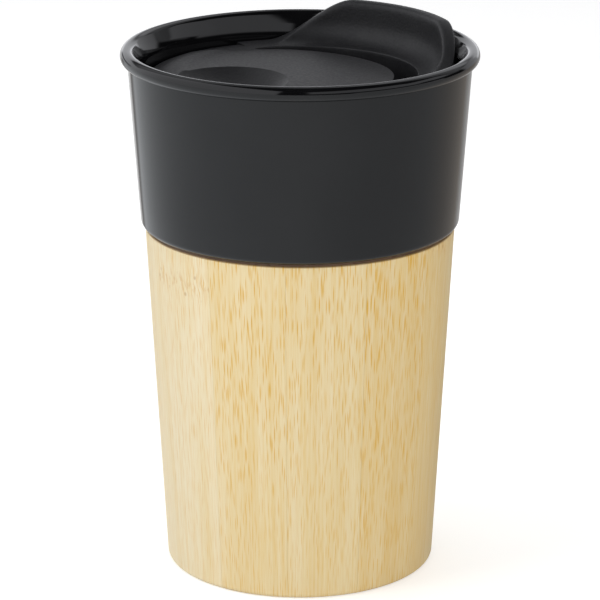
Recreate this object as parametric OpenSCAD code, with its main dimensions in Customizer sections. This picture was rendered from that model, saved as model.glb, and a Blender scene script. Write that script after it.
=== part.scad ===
/* [Cup] */
// Diameter across the rolled rim
rim_d = 90; // [86:0.5:96]
// Height from the table to the top of the rim
cup_h = 134.6; // [128:0.1:145]
// Radius of the round bead along the rim
bead_r = 1.85; // [1.6:0.05:2.2]
// How far the bead stands out past the glazed band below it
bead_reach = 1.7; // [1.3:0.05:2]
// Direction in which the bead's underside meets the band, in degrees below level
bead_under = 72; // [60:1:80]
// Height of the glazed band, from its lower edge to the top of the rim
band_h = 45.4; // [40:0.2:52]
// How far the glazed band draws in from the rim to its lower edge, on each side
band_draw = 3.1; // [1.5:0.1:4]
// Rounding of the glazed band's lower edge
band_round = 1.8; // [0.6:0.1:2]
// Thickness of the porcelain in the glazed band
band_wall = 3.6; // [3:0.1:4]
// Thickness of the porcelain behind the sleeve
lower_wall = 3.2; // [2.6:0.1:3.8]
// Thickness of the cup's bottom
cup_floor = 5; // [4:0.1:7]
// Rounding inside, where the wall meets the bottom
inside_round = 8; // [4:0.5:12]
// Height over which the inside narrows behind the band's lower edge
shoulder_run = 14; // [12:0.5:16]
// Depth of the flared mouth inside the rim
mouth_depth = 2.7; // [2.2:0.1:4]
// Height of the porcelain foot above the table
foot_lift = 0.6; // [0.4:0.1:1.5]
// Depth of the hollow under the foot
foot_hollow = 1; // [0.5:0.1:2]
// Width of the foot ring
foot_ring = 4; // [3:0.5:6]

/* [Bamboo sleeve] */
// Number of staves glued edge to edge
stave_count = 12; // [8:1:20]
// Direction of the first stave joint, in degrees from the sip spout
stave_turn = 12.3; // [0:0.1:29.9]
// How far the sleeve's top edge lies inside the glazed band's edge
sleeve_step = 1; // [0.6:0.1:1.6]
// How far the sleeve draws in from its top edge to the table, on each side
sleeve_draw = 4.9; // [3:0.1:6]
// Thickness of the bamboo
sleeve_wall = 4; // [3.4:0.1:4.6]
// Rounding of the sleeve's top edge
sleeve_top_round = 0.5; // [0.2:0.1:0.8]
// Rounding of the sleeve's bottom edge
sleeve_foot_round = 1.4; // [0.6:0.1:2]
// Height of the joint between the sleeve and the glazed band
seam_h = 0.5; // [0.3:0.1:0.8]

/* [Adhesive] */
// Space between the cup and the sleeve
glue_gap = 0.4; // [0.3:0.05:0.6]
// Skin left open on each side of the cured adhesive
glue_skin = 0.03; // [0.02:0.01:0.05]
// Height of each adhesive belt
glue_belt_h = 12; // [6:1:20]
// Height of the lower belt's bottom edge above the table
glue_belt_low = 6; // [5:0.5:12]

/* [Lid plate] */
// How far the lid's edge lies below the top of the rim
lid_drop = 6.7; // [6:0.1:8]
// Gap between the lid's edge and the cup's wall
lid_gap = 0.85; // [0.6:0.05:1.4]
// Width of the border between the lid's edge and its dished middle
border_w = 9; // [8.8:0.1:10]
// Depth of the dish below the lid's edge
dish_depth = 0.4; // [0.2:0.1:0.8]
// Thickness of the plate
plate_t = 2.4; // [2:0.1:2.8]
// Rounding of the lid's edge
lid_edge_round = 0.8; // [0.4:0.1:1]
// Thickness of the skirt that pushes into the cup
skirt_wall = 2.4; // [2.2:0.1:2.8]
// How far the skirt lies inside the lid's edge
skirt_inset = 1.7; // [1.4:0.1:2]
// Depth of the skirt below the lid's edge
skirt_depth = 15; // [13:0.5:17]

/* [Sip spout] */
// Height of the spout above the lid's edge
spout_rise = 11; // [8:0.1:13]
// How far the spout's top leans out past the lid's edge
spout_lean = 1; // [0:0.1:1.4]
// Thickness of the spout's top
spout_top_t = 3.8; // [3:0.1:4.4]
// Rounding along the spout's top
spout_lip_r = 1.3; // [0.8:0.1:1.4]
// How far the spout's inner face leans out over its height
spout_face_lean = 0.4; // [0:0.1:1]
// Radius of the hollow between the border and the spout's inner face
spout_cove_r = 5.6; // [4:0.2:5.8]
// How far the spout's outer foot lies inside the lid's edge
spout_foot_inset = 0.5; // [0.3:0.1:0.8]
// Angle that the spout's level top spans, in degrees
spout_level_angle = 50; // [40:1:60]
// Angle that each ramp beside the level top spans, in degrees
spout_ramp_angle = 36; // [30:0.5:40]

/* [Sip slot] */
// Radius of the plate's free edge along the slot
slot_edge_r = 28.7; // [27:0.1:30]
// Width of the slot at its middle
slot_w = 8; // [6:0.1:9]
// Distance from the plate's free edge back to the fold where the plate starts to fall
fold_run = 12; // [10:0.1:14]
// Fall of the plate past the fold line, in degrees
fold_fall = 4; // [0:0.5:6]
// Thickness of the curtain that hangs below the slot's outer side
curtain_t = 1.5; // [1.2:0.1:2]
// Height of the curtain below the plate
curtain_h = 4; // [2:0.5:6]

/* [Thumb scoop] */
// Radius of the scoop's outline
scoop_r = 14.4; // [13:0.1:15]
// Least width of the border that the scoop leaves at the lid's edge
scoop_margin = 0.7; // [0.5:0.1:1.5]
// Depth of the scoop below its edge
scoop_depth = 5; // [4.2:0.1:5.6]
// Thickness of the shell under the scoop
scoop_shell = 1.8; // [1.4:0.1:2.2]
// Height of the scoop's edge above the plate
swell_rise = 2.2; // [1.5:0.1:2.6]
// Reach of the low swell around the scoop, from the scoop's middle
swell_r = 30; // [26:0.5:34]
// Distance from the lid's edge to the foot of the swell
swell_inset = 1.5; // [1:0.1:3]
// Width of the swell's slope beside the lid's edge
swell_slope = 6; // [4:0.5:8]

/* [Seal ring] */
// Height of the seal ring
seal_h = 6; // [5:0.5:7]
// Distance from the lid's edge down to the seal ring
seal_drop = 6; // [5:0.5:8]
// Depth of the groove that holds the seal ring
seal_groove = 1.1; // [0.9:0.1:1.2]
// Thickness of the seal ring's band
seal_band_t = 1.6; // [1.4:0.1:1.8]
// Thickness of each lip at its tip
seal_lip_t = 0.7; // [0.5:0.1:1]
// Gap between the seal ring and the groove, and between its lips and the cup
seal_fit = 0.06; // [0.04:0.01:0.1]

/* [Hidden] */
cup_segments = 96;
round_steps = 7;
bead_steps = 20;
ramp_steps = 12;
overrun = 1;
// How far the curtain's ends reach past the ends of the slot, in degrees
curtain_past = 2;

STAVES = [for (i = [1 : stave_count]) str("bamboo_stave_", i)];

// Cup
rim_r = rim_d / 2;
bead_mid_r = rim_r - bead_r;
bead_z = cup_h - bead_r;
band_top_r = rim_r - bead_reach;
band_foot_r = band_top_r - band_draw;
band_foot_h = cup_h - band_h;
mouth_z = bead_z - mouth_depth;
shoulder_low = band_foot_h + seam_h;
shoulder_high = shoulder_low + shoulder_run;
floor_top = foot_lift + cup_floor;

// Sleeve
sleeve_h = band_foot_h - seam_h;
sleeve_top_r = band_foot_r - sleeve_step;
sleeve_foot_r = sleeve_top_r - sleeve_draw;
stave_angle = 360 / stave_count;

// Lid
lid_z = cup_h - lid_drop;
lid_r = band_in(lid_z) - lid_gap;
lid_d = 2 * lid_r;
dish_r = lid_r - border_w;
plate_top = lid_z - dish_depth;
plate_low = plate_top - plate_t;
plate_mid = plate_top - plate_t / 2;
flat_r = dish_r - curtain_t;
skirt_r = lid_r - skirt_inset;
skirt_in_r = skirt_r - skirt_wall;
skirt_low = lid_z - skirt_depth;
slot_edge_x = dish_r - slot_w;
slot_edge_mid = slot_edge_x - slot_edge_r;
fold_x = slot_edge_x - fold_run;
spout_top = lid_z + spout_rise;
spout_out_r = lid_r + spout_lean;
spout_in_r = spout_out_r - spout_top_t;
spout_base_r = spout_in_r - spout_face_lean;
spout_angle = 2 * acos(fold_x / dish_r) + 2 * curtain_past;
groove_r = skirt_r - seal_groove;
seal_top = lid_z - seal_drop;
seal_low = seal_top - seal_h;
scoop_mid_x = scoop_margin + scoop_r - lid_r;
scoop_edge_z = plate_top + swell_rise;
swell_drop = (swell_r * swell_r - scoop_r * scoop_r - swell_rise * swell_rise) / (2 * swell_rise);
swell_ball_r = sqrt(swell_r * swell_r + swell_drop * swell_drop);
swell_foot_r = lid_r - swell_inset;
scoop_ball_r = (scoop_r * scoop_r + scoop_depth * scoop_depth) / (2 * scoop_depth);
scoop_ball_z = scoop_edge_z + scoop_ball_r - scoop_depth;

// Value at height z of a straight side from [r0, z0] to [r1, z1]
function side(z, r0, z0, r1, z1) = r0 + (r1 - r0) * (z - z0) / (z1 - z0);

// Radii of the main surfaces at a height
function band_out(z) = side(z, band_foot_r, band_foot_h, band_top_r, bead_z);
function band_in(z) = band_out(z) - band_wall;
function sleeve_out(z) = side(z, sleeve_foot_r, 0, sleeve_top_r, sleeve_h);
function sleeve_in(z) = sleeve_out(z) - sleeve_wall;
function lower_out(z) = sleeve_in(z) - glue_gap;
function lower_in(z) = lower_out(z) - lower_wall;

// Points of an arc of radius r that rounds the corner b between a and c
function unit(v) = v / norm(v);
function turn_by(a0, a1) = (a1 - a0 + 540) % 360 - 180;
function corner(a, b, c, r) =
    let (
        u = unit(a - b),
        v = unit(c - b),
        half = acos(u * v) / 2,
        mid = b + unit(u + v) * r / sin(half),
        p = b + u * r / tan(half) - mid,
        q = b + v * r / tan(half) - mid,
        start = atan2(p.y, p.x),
        sweep = turn_by(start, atan2(q.y, q.x))
    )
    [for (i = [0 : round_steps])
        mid + r * [cos(start + sweep * i / round_steps), sin(start + sweep * i / round_steps)]];

// Smooth step from 0 to 1
function ease(t) = t * t * (3 - 2 * t);

function cup_outline() =
    let (
        foot_in = lower_out(foot_lift) - foot_ring,
        hollow_z = foot_lift + foot_hollow,
        foot = [lower_out(foot_lift), foot_lift],
        neck = [lower_out(band_foot_h), band_foot_h],
        edge = [band_foot_r, band_foot_h],
        under = bead_z - bead_r * sin(bead_under),
        top = [band_out(under), under],
        bead = [for (i = [0 : bead_steps])
            let (a = -bead_under + (180 + bead_under) * i / bead_steps)
            [bead_mid_r + bead_r * cos(a), bead_z + bead_r * sin(a)]],
        mouth_top = bead[bead_steps],
        mouth = [band_in(mouth_z), mouth_z],
        bend_high = [band_in(shoulder_high), shoulder_high],
        bend_low = [lower_in(shoulder_low), shoulder_low],
        bottom = [lower_in(floor_top), floor_top],
        middle = [0, floor_top]
    )
    concat(
        [[0, hollow_z], [foot_in - foot_hollow, hollow_z], [foot_in, foot_lift]],
        corner([foot_in, foot_lift], foot, neck, foot_hollow),
        [neck],
        corner(neck, edge, top, band_round),
        [top],
        bead,
        corner(mouth_top, mouth, bend_high, mouth_depth),
        corner(mouth, bend_high, bend_low, inside_round),
        corner(bend_high, bend_low, bottom, inside_round),
        corner(bend_low, bottom, middle, inside_round),
        [middle]
    );

function stave_outline() =
    let (
        foot_in = [sleeve_in(0), 0],
        foot_out = [sleeve_out(0), 0],
        top_out = [sleeve_out(sleeve_h), sleeve_h],
        top_in = [sleeve_in(sleeve_h), sleeve_h]
    )
    concat(
        [foot_in],
        corner(foot_in, foot_out, top_out, sleeve_foot_round),
        corner(foot_out, top_out, top_in, sleeve_top_round),
        [top_in]
    );

function belt_outline(low, high) = [
    [lower_out(low) + glue_skin, low],
    [sleeve_in(low) - glue_skin, low],
    [sleeve_in(high) - glue_skin, high],
    [lower_out(high) + glue_skin, high]
];

// The upper belt carries a flange that fills the seam under the glazed band
function flanged_belt_outline(low) =
    let (flange_r = sleeve_out(sleeve_h) - sleeve_top_round)
    [
        [lower_out(low) + glue_skin, low],
        [sleeve_in(low) - glue_skin, low],
        [sleeve_in(sleeve_h) - glue_skin, sleeve_h + glue_skin],
        [flange_r, sleeve_h + glue_skin],
        [flange_r, band_foot_h - glue_skin],
        [lower_out(band_foot_h) + glue_skin, band_foot_h - glue_skin]
    ];

function lid_outline() =
    let (
        dish_edge = [flat_r, plate_top],
        top_edge = [lid_r, lid_z],
        low_edge = [lid_r, plate_low],
        skirt_top = [skirt_r, plate_low],
        under = [skirt_in_r, plate_low]
    )
    concat(
        [[0, plate_low], [0, plate_top], dish_edge],
        corner(dish_edge, top_edge, low_edge, lid_edge_round),
        corner(top_edge, low_edge, skirt_top, lid_edge_round),
        [
            skirt_top,
            [skirt_r, seal_top + seal_fit],
            [groove_r, seal_top + seal_fit],
            [groove_r, seal_low - seal_fit],
            [skirt_r, seal_low - seal_fit],
            [skirt_r, skirt_low],
            [skirt_in_r, skirt_low],
            under
        ]
    );

// The spout stands on the lid's border, and the curtain hangs below its inner face
function spout_outline() =
    let (
        curtain_low = plate_low - curtain_h,
        foot_in = [dish_r, lid_z],
        base_in = [spout_base_r, lid_z],
        top_in = [spout_in_r, spout_top],
        top_out = [spout_out_r, spout_top],
        foot_out = [lid_r - spout_foot_inset, plate_mid]
    )
    concat(
        [[dish_r, curtain_low], foot_in],
        corner(foot_in, base_in, top_in, min(spout_cove_r, spout_base_r - dish_r)),
        corner(base_in, top_in, top_out, spout_lip_r),
        corner(top_in, top_out, foot_out, spout_lip_r),
        [foot_out, [dish_r + curtain_t, plate_mid], [dish_r + curtain_t, curtain_low]]
    );

// What is cut away above a ramp, seen along the radius through the ramp's middle
function above_ramp() =
    let (
        run = 2 * spout_out_r * sin(spout_ramp_angle / 2),
        fall = spout_top - plate_mid,
        ramp = [for (i = [0 : ramp_steps])
            [run * (i / ramp_steps - 0.5), max(plate_top, spout_top - fall * ease(i / ramp_steps))]]
    )
    concat(
        [[-run / 2, spout_top + overrun]],
        ramp,
        [[lid_d, plate_top], [lid_d, spout_top + overrun]]
    );

function seal_outline() =
    let (
        in_r = groove_r + seal_fit,
        band_r = in_r + seal_band_t,
        lip = seal_h / 4,
        high_tip = band_in(seal_top) - seal_fit,
        mid_z = (seal_top + seal_low) / 2,
        low_tip = band_in(mid_z - lip) - seal_fit
    )
    [
        [in_r, seal_low],
        [band_r, seal_low],
        [band_r, mid_z - lip - seal_lip_t],
        [low_tip, mid_z - lip],
        [low_tip, mid_z - lip + seal_lip_t],
        [band_r, mid_z - lip + seal_lip_t],
        [band_r, seal_top - lip - seal_lip_t],
        [high_tip, seal_top - seal_lip_t],
        [high_tip, seal_top],
        [in_r, seal_top]
    ];

module porcelain_cup() {
    color("#1b1b1e")
    rotate_extrude($fn = cup_segments)
    polygon(cup_outline());
}

module bamboo_stave(index) {
    color(index % 2 == 0 ? "#e6d3a4" : "#e0cb98")
    rotate([0, 0, stave_turn + stave_angle * (index - 1)])
    rotate_extrude(angle = stave_angle, $fn = cup_segments)
    polygon(stave_outline());
}

module upper_adhesive() {
    color("#4a3322")
    rotate_extrude($fn = cup_segments)
    polygon(flanged_belt_outline(sleeve_h - glue_belt_h));
}

module lower_adhesive() {
    color("#4a3322")
    rotate_extrude($fn = cup_segments)
    polygon(belt_outline(glue_belt_low, glue_belt_low + glue_belt_h));
}

module lid_seal() {
    color("#2a2a2c")
    rotate_extrude($fn = cup_segments)
    polygon(seal_outline());
}

module ramp_cut() {
    rotate([0, 0, (spout_level_angle + spout_ramp_angle) / 2])
    rotate([90, 0, 90])
    linear_extrude(height = spout_out_r + overrun)
    polygon(above_ramp());
}

module spout() {
    difference() {
        rotate([0, 0, -spout_angle / 2])
        rotate_extrude(angle = spout_angle, $fn = cup_segments)
        polygon(spout_outline());
        ramp_cut();
        mirror([0, 1, 0]) ramp_cut();
    }
}

// The slot beside the plate's free edge; the curtain closes its outer side
module slot_cut() {
    translate([0, 0, plate_low - overrun])
    difference() {
        intersection() {
            cylinder(h = plate_t + 2 * overrun, r = dish_r + curtain_t / 2, $fn = cup_segments);
            translate([fold_x, -lid_r, 0]) cube([lid_r, lid_d, plate_t + 2 * overrun]);
        }
        translate([slot_edge_mid, 0, -overrun])
        cylinder(h = plate_t + 4 * overrun, r = slot_edge_r, $fn = cup_segments);
    }
}

// The shallow wedge that lets the plate fall towards the slot
module fall_cut() {
    intersection() {
        translate([slot_edge_mid, 0, plate_low])
        cylinder(h = 2 * plate_t, r = slot_edge_r + overrun, $fn = cup_segments);
        translate([fold_x, 0, plate_top])
        rotate([0, fold_fall, 0])
        translate([0, -lid_r, 0]) cube([lid_r, lid_d, plate_t]);
    }
}

module scoop_ball(extra) {
    translate([scoop_mid_x, 0, scoop_ball_z]) sphere(r = scoop_ball_r + extra, $fn = cup_segments);
}

// The wide low swell that carries the scoop, with a slope down to the lid's edge
module swell() {
    brow_z = plate_top + 2 * swell_rise;
    intersection() {
        translate([scoop_mid_x, 0, plate_top - swell_drop]) sphere(r = swell_ball_r, $fn = 3 * cup_segments);
        rotate_extrude($fn = cup_segments)
        polygon([
            [0, plate_mid],
            [swell_foot_r, plate_mid],
            [swell_foot_r, plate_top],
            [swell_foot_r - 2 * swell_slope, brow_z],
            [0, brow_z],
        ]);
    }
}

module scoop_shell_solid() {
    shell_r = (groove_r + skirt_in_r) / 2;
    intersection() {
        scoop_ball(scoop_shell);
        translate([0, 0, skirt_low]) cylinder(h = plate_mid - skirt_low, r = shell_r, $fn = cup_segments);
    }
}

module plate_and_skirt() {
    difference() {
        union() {
            rotate_extrude($fn = cup_segments)
            polygon(lid_outline());
            swell();
            scoop_shell_solid();
        }
        slot_cut();
        fall_cut();
        scoop_ball(0);
    }
}

module lid_body() {
    color("#2e2e31")
    union() {
        plate_and_skirt();
        spout();
    }
}

porcelain_cup();
for (i = [1 : stave_count]) bamboo_stave(i);
upper_adhesive();
lower_adhesive();
lid_seal();
lid_body();
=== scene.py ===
import math

import bmesh
import bpy
import numpy as np
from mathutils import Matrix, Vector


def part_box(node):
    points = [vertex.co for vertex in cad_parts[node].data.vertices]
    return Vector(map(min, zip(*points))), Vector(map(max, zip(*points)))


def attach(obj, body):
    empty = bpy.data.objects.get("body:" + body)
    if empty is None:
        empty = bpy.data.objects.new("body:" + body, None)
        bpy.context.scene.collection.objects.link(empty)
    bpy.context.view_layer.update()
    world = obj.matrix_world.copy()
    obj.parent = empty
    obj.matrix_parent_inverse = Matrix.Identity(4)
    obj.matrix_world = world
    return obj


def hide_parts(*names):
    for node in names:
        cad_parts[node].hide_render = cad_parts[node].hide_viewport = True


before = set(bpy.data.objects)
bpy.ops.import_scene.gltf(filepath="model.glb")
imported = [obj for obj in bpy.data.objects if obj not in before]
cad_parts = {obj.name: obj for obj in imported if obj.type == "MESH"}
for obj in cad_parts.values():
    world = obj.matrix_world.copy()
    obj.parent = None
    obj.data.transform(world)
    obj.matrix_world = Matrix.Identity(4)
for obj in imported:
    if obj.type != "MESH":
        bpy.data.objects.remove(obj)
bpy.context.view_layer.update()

# Lengths below are in millimetres, like the part's source, and angles in degrees
MM = 0.001


def node_box(node):
    """Lowest and highest corner of a CAD node, to a tenth of a millimetre."""
    low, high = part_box(node)
    return [round(v / MM, 1) for v in low], [round(v / MM, 1) for v in high]


CUP_LOW, CUP_HIGH = node_box("porcelain_cup")
LID_LOW, LID_HIGH = node_box("lid_body")
SEAL_LOW, SEAL_HIGH = node_box("lid_seal")

# Cup
RIM_R = CUP_HIGH[0]
CUP_TOP = CUP_HIGH[2]
FOOT_Z = CUP_LOW[2]
BEAD_R = 1.85
BEAD_REACH = 1.7
BEAD_UNDER = 72
BAND_H = 45.4
BAND_DRAW = 3.1
BAND_ROUND = 1.8
BAND_WALL = 3.6
LOWER_WALL = 3.2
CUP_FLOOR = 5.0
INSIDE_ROUND = 8.0
SHOULDER_RUN = 14.0
MOUTH_DEPTH = 2.7
MOUTH_ROUND = 8.0
FOOT_HOLLOW = 1.0
FOOT_RING = 4.0
SEAM_H = 0.5

BEAD_MID_R = RIM_R - BEAD_R
BEAD_Z = CUP_TOP - BEAD_R
BAND_TOP_R = RIM_R - BEAD_REACH
BAND_FOOT_R = BAND_TOP_R - BAND_DRAW
BAND_FOOT_Z = CUP_TOP - BAND_H

# Bamboo sleeve
STAVES = 12
STAVE_TURN = 12.3
SLEEVE_TOP = node_box("bamboo_stave_1")[1][2]
SLEEVE_STEP = 1.0
SLEEVE_DRAW = 4.9
SLEEVE_WALL = 4.0
SLEEVE_TOP_ROUND = 0.5
SLEEVE_FOOT_ROUND = 1.4
GLUE_GAP = 0.4
JOINT_CHAMFER = 0.05
JOINT_GAP = 0.008
SLEEVE_TOP_R = BAND_FOOT_R - SLEEVE_STEP
SLEEVE_FOOT_R = SLEEVE_TOP_R - SLEEVE_DRAW

# Lid
LID_Z = 127.9
LID_R = 38.5
BORDER_W = 9.0
DISH_DEPTH = 0.4
PLATE_T = 2.4
LID_EDGE_ROUND = 0.8
EDGE_UNDER_ROUND = 0.6
SKIRT_R = 36.8
SKIRT_WALL = 2.4
SKIRT_ROUND = 0.5
SKIRT_LOW = LID_LOW[2]
GROOVE_DEPTH = 1.1
SEAL_FIT = 0.06
DISH_R = LID_R - BORDER_W
PLATE_TOP = LID_Z - DISH_DEPTH
PLATE_LOW = PLATE_TOP - PLATE_T
SKIRT_IN_R = SKIRT_R - SKIRT_WALL
GROOVE_R = SKIRT_R - GROOVE_DEPTH

# The lid's border rises a little from the floor and then rolls down to the lid's edge
BORDER_START = DISH_R - 2.0
BORDER_CREST = DISH_R + 0.6
BORDER_ROLL = 0.9

# Spout
SPOUT_TOP = LID_HIGH[2]
SPOUT_OUT_R = LID_R + 1.0
SPOUT_TOP_T = 3.8
SPOUT_IN_R = SPOUT_OUT_R - SPOUT_TOP_T
SPOUT_FACE_LEAN = 0.4
SPOUT_COVE_R = 5.6
SPOUT_FOOT_INSET = 0.5
SPOUT_LEVEL = 25.0
SPOUT_RAMP = 36.0

# Sip slot
SLOT_W = 8.0
SLOT_EDGE_R = 28.7
SLOT_EDGE_X = DISH_R - SLOT_W
SLOT_MID_X = SLOT_EDGE_X - SLOT_EDGE_R
FOLD_RUN = 12.0
FOLD_X = SLOT_EDGE_X - FOLD_RUN
FOLD_FALL = 0.6
FOLD_SOFT = 0.5
FOLD_FADE = 1.5
FREE_EDGE_ROUND = 0.25
SLOT_EDGE_ROUND = 0.28
SLOT_EDGE_FADE = 4.0
SLOT_TURN = math.degrees(math.acos(FOLD_X / DISH_R))
CURTAIN_T = 1.5
CURTAIN_H = 4.0
CURTAIN_PAST = 2.0
CURTAIN_OUT_R = DISH_R + CURTAIN_T
CURTAIN_LOW = PLATE_LOW - CURTAIN_H
WALL_TURN = SLOT_TURN + CURTAIN_PAST

# Thumb scoop, in a wide low swell of the lid that reaches the slot
SCOOP_R = 14.4
SCOOP_DEPTH = 5.0
SCOOP_SHELL = 1.8
SCOOP_INSET = 0.7
SCOOP_X = -(LID_R - SCOOP_INSET - SCOOP_R)
SWELL_R = 52.0
SWELL_EDGE_RISE = 2.2
SWELL_RISE = SWELL_EDGE_RISE / (1 - (SCOOP_R / SWELL_R) ** 2)
SWELL_FOOT_R = 37.0
SWELL_BROW_W = 6.0
SWELL_BLEND = 1.2
SWELL_FOOT_SOFT = 0.5
SWELL_DRAW = 7.9
SWELL_DRAW_FROM = -8.0
SWELL_DRAW_TO = 7.0
SCOOP_EDGE_Z = PLATE_TOP + SWELL_EDGE_RISE
SCOOP_BALL_R = (SCOOP_R ** 2 + SCOOP_DEPTH ** 2) / (2 * SCOOP_DEPTH)
SCOOP_BALL_Z = SCOOP_EDGE_Z + SCOOP_BALL_R - SCOOP_DEPTH
SCOOP_EDGE_SOFT = 0.1
SHELL_BLEND = 1.0

# The photograph's camera: its azimuth from the spout, how far out and up it stands, how far it
# looks down, its lens and sensor, and the nearest and farthest that it sees
PHOTO_AZ = -132.5
CAMERA_OUT = 800.7
CAMERA_UP = 318.2
CAMERA_PITCH = 17.34
CAMERA_LENS = 196.9
CAMERA_SENSOR = 36.0
CAMERA_NEAR = 50.0
CAMERA_FAR = 20000.0


# Meshes

# Points of a mesh closer than this become one, in metres
WELD = 1e-6
# Edges sharper than this stay sharp
SMOOTH = 35.0
LID_SMOOTH = 40.0


def unit(v):
    return v / np.linalg.norm(v)


def corner(a, b, c, radius, steps=8):
    """Points of an arc that rounds the corner b between a and c."""
    a, b, c = (np.array(p, float) for p in (a, b, c))
    u, v = unit(a - b), unit(c - b)
    half = math.acos(float(np.clip(u @ v, -1, 1))) / 2
    mid = b + unit(u + v) * radius / math.sin(half)
    p = b + u * radius / math.tan(half) - mid
    q = b + v * radius / math.tan(half) - mid
    start = math.atan2(p[1], p[0])
    sweep = (math.atan2(q[1], q[0]) - start + 3 * math.pi) % (2 * math.pi) - math.pi
    turns = start + sweep * np.linspace(0, 1, steps + 1)
    return [(mid[0] + radius * math.cos(t), mid[1] + radius * math.sin(t)) for t in turns]


def spread(points, most):
    """The same polyline with no stretch longer than most."""
    out = [points[0]]
    for a, b in zip(points, points[1:]):
        count = max(1, math.ceil(math.dist(a, b) / most))
        step = np.array(b) - np.array(a)
        out += [tuple(np.array(a) + step * i / count) for i in range(1, count + 1)]
    return out


def turned(outline, angles):
    """Grid of points: the outline's (radius, height) points at each angle."""
    r, z = np.array(outline, float).T
    a = np.radians(np.asarray(angles, float))[:, None]
    height = np.broadcast_to(z, (a.shape[0], z.size))
    return np.stack([r * np.cos(a), r * np.sin(a), height], axis=-1)


def in_metres(point):
    return (point[0] * MM, point[1] * MM, point[2] * MM)


def build(name, grids, material, smooth=SMOOTH):
    """One object from grids of points whose shared edges are welded."""
    mesh = bpy.data.meshes.new(name)
    bm = bmesh.new()
    for grid in grids:
        rows, columns = grid.shape[:2]
        verts = [[bm.verts.new(in_metres(grid[i, j])) for j in range(columns)] for i in range(rows)]
        for i in range(rows - 1):
            for j in range(columns - 1):
                bm.faces.new((verts[i][j], verts[i + 1][j], verts[i + 1][j + 1], verts[i][j + 1]))
    bmesh.ops.remove_doubles(bm, verts=bm.verts, dist=WELD)
    bmesh.ops.dissolve_degenerate(bm, edges=bm.edges, dist=WELD)
    bmesh.ops.recalc_face_normals(bm, faces=bm.faces)
    bm.to_mesh(mesh)
    bm.free()
    mesh.shade_smooth()
    mesh.set_sharp_from_angle(angle=math.radians(smooth))
    obj = bpy.data.objects.new(name, mesh)
    bpy.context.scene.collection.objects.link(obj)
    obj.data.materials.append(material)
    return obj


def close_ends(obj):
    """Fills the open ends of a piece."""
    bm = bmesh.new()
    bm.from_mesh(obj.data)
    bmesh.ops.holes_fill(bm, edges=[e for e in bm.edges if e.is_boundary])
    bmesh.ops.recalc_face_normals(bm, faces=bm.faces)
    bm.to_mesh(obj.data)
    bm.free()
    obj.data.set_sharp_from_angle(angle=math.radians(SMOOTH))


# Cup

CUP_STATIONS = 241
CUP_STRETCH = 6.0
BEAD_POINTS = 41


def band_out(z):
    return BAND_FOOT_R + (BAND_TOP_R - BAND_FOOT_R) * (z - BAND_FOOT_Z) / (BEAD_Z - BAND_FOOT_Z)


def band_in(z):
    return band_out(z) - BAND_WALL


def sleeve_out(z):
    return SLEEVE_FOOT_R + SLEEVE_DRAW * z / SLEEVE_TOP


def sleeve_in(z):
    return sleeve_out(z) - SLEEVE_WALL


def lower_out(z):
    return sleeve_in(z) - GLUE_GAP


def lower_in(z):
    return lower_out(z) - LOWER_WALL


def bead_arc(mouth):
    """The rim's bead, from under its outside over the top to where the mouth's wall leaves it."""
    away = (mouth[0] - BEAD_MID_R, mouth[1] - BEAD_Z)
    toward = math.degrees(math.atan2(away[1], away[0])) % 360
    leave = toward - math.degrees(math.acos(BEAD_R / math.hypot(*away)))
    turns = np.radians(np.linspace(-BEAD_UNDER, leave, BEAD_POINTS))
    return [(BEAD_MID_R + BEAD_R * math.cos(t), BEAD_Z + BEAD_R * math.sin(t)) for t in turns]


def cup_outline():
    """Half outline of the cup: under the foot, up the outside, over the rim and down inside."""
    foot_in = lower_out(FOOT_Z) - FOOT_RING
    hollow_z = FOOT_Z + FOOT_HOLLOW
    foot = (lower_out(FOOT_Z), FOOT_Z)
    neck = (lower_out(BAND_FOOT_Z), BAND_FOOT_Z)
    edge = (BAND_FOOT_R, BAND_FOOT_Z)
    under = BEAD_Z - BEAD_R * math.sin(math.radians(BEAD_UNDER))
    top = (band_out(under), under)
    mouth_z = BEAD_Z - MOUTH_DEPTH
    mouth = (band_in(mouth_z), mouth_z)
    bead = bead_arc(mouth)
    shoulder = BAND_FOOT_Z + SEAM_H
    bend_high = (band_in(shoulder + SHOULDER_RUN), shoulder + SHOULDER_RUN)
    bend_low = (lower_in(shoulder), shoulder)
    inside_z = FOOT_Z + CUP_FLOOR
    bottom = (lower_in(inside_z), inside_z)
    middle = (0, inside_z)
    outside = [(0, hollow_z), (foot_in - FOOT_HOLLOW, hollow_z), (foot_in, FOOT_Z)]
    outside += corner((foot_in, FOOT_Z), foot, neck, FOOT_HOLLOW) + [neck]
    outside += corner(neck, edge, top, BAND_ROUND) + [top]
    inside = corner(bead[-1], mouth, bend_high, MOUTH_ROUND)
    inside += corner(mouth, bend_high, bend_low, INSIDE_ROUND)
    inside += corner(bend_high, bend_low, bottom, INSIDE_ROUND)
    inside += corner(bend_low, bottom, middle, INSIDE_ROUND) + [middle]
    return outside + bead + inside


def make_cup(material):
    angles = np.linspace(0, 360, CUP_STATIONS)
    cup = build("cup", [turned(spread(cup_outline(), CUP_STRETCH), angles)], material)
    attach(cup, "mug")
    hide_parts("porcelain_cup")


# Bamboo sleeve

STAVE_STATIONS = 25
# For each stave: tone, which is partly the stave's own and partly painted shade, as the staves in
# view run from pale at the camera's left to deep at its right; strength of its fibre dashes and the
# height of its knot, or KNOTLESS
KNOTLESS = -50.0
STAVE_LOOKS = (
    (0.55, 0.60, KNOTLESS),
    (0.35, 0.85, 31.0),
    (0.70, 0.70, KNOTLESS),
    (0.45, 0.50, 62.0),
    (0.20, 0.25, KNOTLESS),
    (0.20, 0.44, 80.5),
    (0.50, 0.86, KNOTLESS),
    (0.52, 0.78, KNOTLESS),
    (0.86, 1.25, KNOTLESS),
    (0.85, 0.40, 88.0),
    (0.60, 0.75, KNOTLESS),
    (0.48, 0.55, 45.0),
)


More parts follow.
